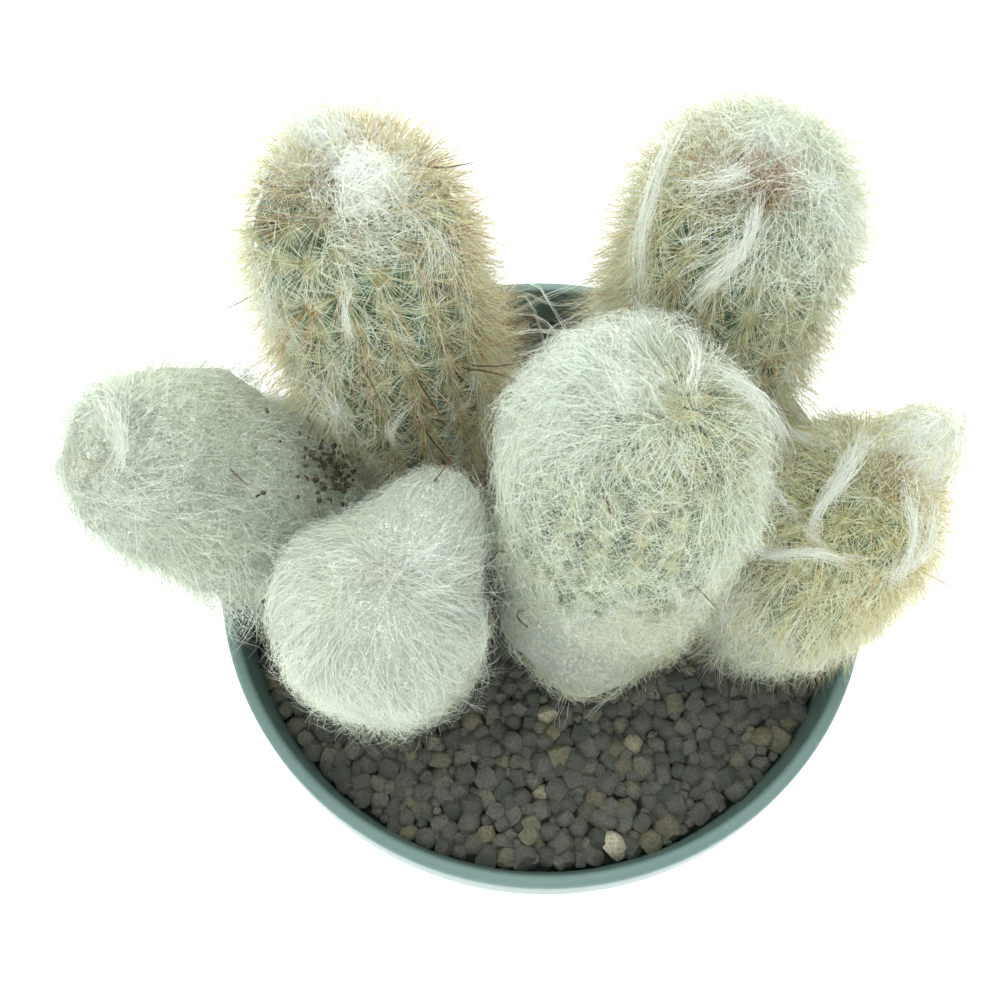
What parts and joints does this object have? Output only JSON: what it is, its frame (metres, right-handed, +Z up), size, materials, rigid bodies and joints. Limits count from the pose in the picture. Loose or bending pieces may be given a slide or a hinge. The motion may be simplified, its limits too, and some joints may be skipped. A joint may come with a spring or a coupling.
{
  "type": "potted woolly columnar cactus",
  "caption": "Clump of short ribbed columnar cactus stems under silky white wool and fine golden spines, growing in mineral granules in a round tapered plastic nursery pot.",
  "frame": {"origin": "centre of the pot's base, on the surface that the pot stands on", "axes": "+Z up along the pot's own axis, -Y towards the front, where the granules are bare, and +X to the right of someone who looks from the front"},
  "size_m": [0.1597, 0.13, 0.1912],
  "materials": {
    "pot_plastic": "satin",
    "mineral_granules": "matte",
    "stem_skin": "satin",
    "spine_coat": "matte",
    "wool_tuft": "matte"
  },
  "bodies": {
    "root": {"pot": "pot_plastic", "substrate": "mineral_granules", "surface_granules": "mineral_granules", "stem_back_left": "stem_skin", "coat_back_left": "spine_coat", "stem_back_right": "stem_skin", "coat_back_right": "spine_coat", "stem_far_left": "stem_skin", "coat_far_left": "spine_coat", "stem_front_left": "stem_skin", "coat_front_left": "spine_coat", "stem_front_centre": "stem_skin", "coat_front_centre": "spine_coat", "stem_far_right": "stem_skin", "coat_far_right": "spine_coat", "tuft_back_left_rear": "wool_tuft", "tuft_back_left_front": "wool_tuft", "tuft_back_right": "wool_tuft", "tuft_front_left": "wool_tuft", "tuft_front_centre": "wool_tuft", "tuft_far_right": "wool_tuft"}
  },
  "joints": []
}
